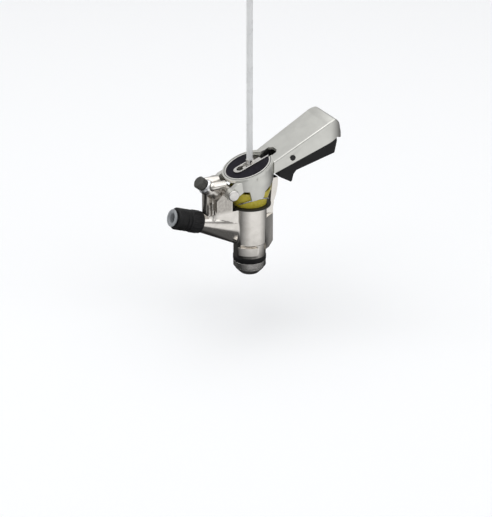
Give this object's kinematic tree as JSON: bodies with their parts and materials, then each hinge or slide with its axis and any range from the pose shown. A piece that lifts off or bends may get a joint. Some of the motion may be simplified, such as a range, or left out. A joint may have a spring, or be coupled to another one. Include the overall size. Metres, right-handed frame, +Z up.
{
  "type": "keg coupler",
  "caption": "Lever-operated keg coupler with bayonet neck, inclined push-in gas inlet, pull relief valve, sliding probe, trigger latch and a rigid beer line standing up through the lever head.",
  "frame": {"origin": "on the probe axis at the shoulder between the neck seal and the nose ring, which seats in the keg neck", "axes": "+Z up along the probe axis, +X towards the handle's end, the gas inlet towards -X"},
  "size_m": [0.1956, 0.054, 0.3466],
  "materials": {
    "polished_stainless": "polished cast and turned stainless steel",
    "turned_stainless": "turned stainless steel",
    "satin_metal": "satin bead-blasted cast metal",
    "chrome_trim": "bright chrome",
    "spring_wire": "drawn spring wire",
    "black_steel": "blackened steel",
    "black_rubber": "moulded black rubber",
    "dark_ring": "moulded dark rubber",
    "black_plastic": "moulded black plastic",
    "disc_plastic": "moulded dark plastic",
    "knob_plastic": "moulded dark grey plastic",
    "grey_plastic": "moulded grey plastic",
    "yellow_plastic": "moulded yellow plastic",
    "white_ball": "white plastic ball",
    "line_tube": "translucent extruded tube"
  },
  "bodies": {
    "coupler": {"coupler_body": "polished_stainless", "neck_seal": "black_rubber", "nose_ring": "turned_stainless", "mouth_ring": "dark_ring", "guide_cup": "yellow_plastic", "retaining_clip": "spring_wire", "gland_oring": "black_rubber", "hinge_pin": "turned_stainless", "hinge_clip": "spring_wire", "gas_check_valve": "black_rubber", "check_valve_retainer": "black_plastic", "gas_washer": "black_rubber", "gas_nut": "black_plastic", "gas_fitting": "black_plastic", "gas_oring": "black_rubber", "gas_end_cap": "black_plastic", "relief_cap": "chrome_trim", "relief_spring": "spring_wire"},
    "gas_release": {"gas_collet": "grey_plastic"},
    "relief_plunger": {"relief_knob": "knob_plastic", "relief_stem": "turned_stainless", "relief_seal": "black_rubber", "relief_spring_seat": "turned_stainless"},
    "lever": {"lever_handle": "satin_metal", "slot_plate": "disc_plastic", "slot_bezel": "turned_stainless", "drive_pins": "turned_stainless", "trigger_pivot": "black_steel"},
    "trigger_lever": {"trigger": "black_plastic", "latch_pin": "turned_stainless", "trigger_spring": "spring_wire"},
    "probe": {"probe_tube": "turned_stainless", "cross_head": "turned_stainless", "line_guide": "turned_stainless", "probe_tip": "turned_stainless", "probe_seal": "black_rubber", "line_oring": "black_rubber", "ball_cage": "turned_stainless", "beer_line": "line_tube", "line_end_fitting": "turned_stainless", "line_end_ferrule": "turned_stainless"},
    "line_release": {"beer_collet": "grey_plastic"},
    "ball": {"check_ball": "white_ball"}
  },
  "joints": [
    {"name": "lever_swing", "type": "hinge", "parent": "coupler", "child": "lever", "pos_m": [-0.03, 0, 0.084], "axis": [0, 1, 0], "range_deg": [0, 30]},
    {"name": "probe_slide", "type": "slide", "parent": "coupler", "child": "probe", "axis": [0, 0, -1], "range_m": [0, 0.01393]},
    {"name": "trigger_pull", "type": "hinge", "parent": "lever", "child": "trigger_lever", "pos_m": [0.039, 0, 0.1114], "axis": [0, -1, 0], "range_deg": [0, 8], "stiffness_Nm_per_rad": 0.25, "springref_deg": -11.46},
    {"name": "relief_pull", "type": "slide", "parent": "coupler", "child": "relief_plunger", "axis": [-0.766, 0, 0.6428], "range_m": [0, 0.004], "stiffness_N_per_m": 800, "springref_m": -0.005, "deforming": ["relief_spring"]},
    {"name": "gas_collet_slide", "type": "slide", "parent": "coupler", "child": "gas_release", "axis": [0.9426, 0, -0.3338], "range_m": [0, 0.0015]},
    {"name": "line_collet_slide", "type": "slide", "parent": "probe", "child": "line_release", "axis": [0, 0, -1], "range_m": [0, 0.001]},
    {"name": "check_ball_lift", "type": "slide", "parent": "probe", "child": "ball", "axis": [0, 0, 1], "range_m": [0, 0.0014]}
  ],
  "couplings": [
    {"joint": "probe_slide", "follows": "lever_swing", "m_per_rad": 0.026593}
  ]
}
